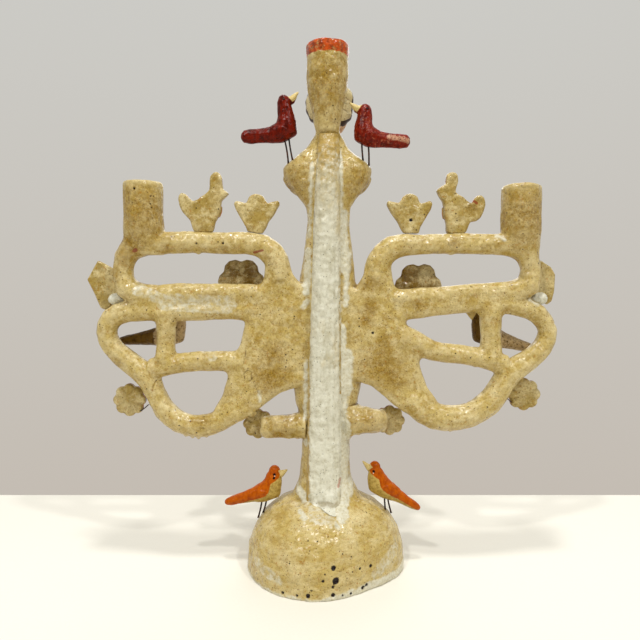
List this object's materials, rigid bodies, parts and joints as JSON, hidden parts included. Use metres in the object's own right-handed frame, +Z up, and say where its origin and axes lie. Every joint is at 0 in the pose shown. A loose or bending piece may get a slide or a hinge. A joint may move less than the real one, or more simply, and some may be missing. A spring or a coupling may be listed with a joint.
{
  "type": "clay tree of life candelabrum",
  "caption": "Hand-built clay candelabrum: a figure on a hollow domed foot bears a candle cup and two coil wings with cups, birds, hens, tulips, leaves and flowers.",
  "frame": {"origin": "middle of the object's box, on the surface that it stands on", "axes": "+Z up; +Y out of the figure's front, so the plain back with the rib faces -Y; +X to the right of somebody who looks at the back"},
  "size_m": [0.4766, 0.1564, 0.5165],
  "materials": {
    "varnished_clay": "fired clay under cream slip and aged yellow varnish, satin",
    "white_plaster": "rough white plaster slip, thin varnish, dull",
    "painted_face": "pale skin-coloured paint on slip under varnish",
    "painted_hair": "dark brown paint under varnish, worn to cream behind",
    "red_paint": "dark red paint on clay, glossy varnish, streaked",
    "orange_paint": "orange paint over a cream belly, glossy varnish",
    "iron_wire": "annealed iron wire, dark, slightly rusted"
  },
  "bodies": {
    "tree": {"base_dome": "varnished_clay", "skirt": "varnished_clay", "bodice": "varnished_clay", "head_candle_cup": "varnished_clay", "left_arm": "varnished_clay", "right_arm": "varnished_clay", "left_wing_web": "varnished_clay", "left_upper_loop": "varnished_clay", "left_lower_loop": "varnished_clay", "left_cross_coil": "varnished_clay", "left_post": "varnished_clay", "left_candle_cup": "varnished_clay", "left_branch": "varnished_clay", "left_inner_flower": "varnished_clay", "left_outer_flower": "varnished_clay", "left_low_flower": "varnished_clay", "left_leaf": "varnished_clay", "left_hen": "varnished_clay", "left_tulip": "varnished_clay", "left_wing_bird": "varnished_clay", "right_wing_web": "varnished_clay", "right_upper_loop": "varnished_clay", "right_lower_loop": "varnished_clay", "right_cross_coil": "varnished_clay", "right_post": "varnished_clay", "right_candle_cup": "varnished_clay", "right_branch": "varnished_clay", "right_inner_flower": "varnished_clay", "right_outer_flower": "varnished_clay", "right_low_flower": "varnished_clay", "right_leaf": "varnished_clay", "right_hen": "varnished_clay", "right_tulip": "varnished_clay", "right_wing_bird": "varnished_clay", "back_rib": "white_plaster", "left_leaf_mortar": "white_plaster", "right_leaf_mortar": "white_plaster", "head": "painted_face", "hair": "painted_hair", "left_outer_flower_wire": "iron_wire", "right_outer_flower_wire": "iron_wire"},
    "left_red_bird": {"left_red_bird": "red_paint", "left_red_bird_leg_1": "iron_wire", "left_red_bird_leg_2": "iron_wire"},
    "right_red_bird": {"right_red_bird": "red_paint", "right_red_bird_leg_1": "iron_wire", "right_red_bird_leg_2": "iron_wire"},
    "left_orange_bird": {"left_orange_bird": "orange_paint", "left_orange_bird_leg_1": "iron_wire", "left_orange_bird_leg_2": "iron_wire"},
    "right_orange_bird": {"right_orange_bird": "orange_paint", "right_orange_bird_leg_1": "iron_wire", "right_orange_bird_leg_2": "iron_wire"}
  },
  "joints": [
    {"name": "left_red_bird_sway", "type": "hinge", "parent": "tree", "child": "left_red_bird", "pos_m": [-0.03025, -0.00176, 0.404], "axis": [1, 0, 0], "range_deg": [-5, 5], "stiffness_Nm_per_rad": 1.5},
    {"name": "right_red_bird_sway", "type": "hinge", "parent": "tree", "child": "right_red_bird", "pos_m": [0.04415, -0.00176, 0.403], "axis": [1, 0, 0], "range_deg": [-3, 5], "stiffness_Nm_per_rad": 1.5},
    {"name": "left_orange_bird_sway", "type": "hinge", "parent": "tree", "child": "left_orange_bird", "pos_m": [-0.06205, -0.00176, 0.049], "axis": [1, 0, 0], "range_deg": [-5, 5], "stiffness_Nm_per_rad": 1.5},
    {"name": "right_orange_bird_sway", "type": "hinge", "parent": "tree", "child": "right_orange_bird", "pos_m": [0.06825, -0.00176, 0.055], "axis": [1, 0, 0], "range_deg": [-5, 5], "stiffness_Nm_per_rad": 1.5}
  ]
}
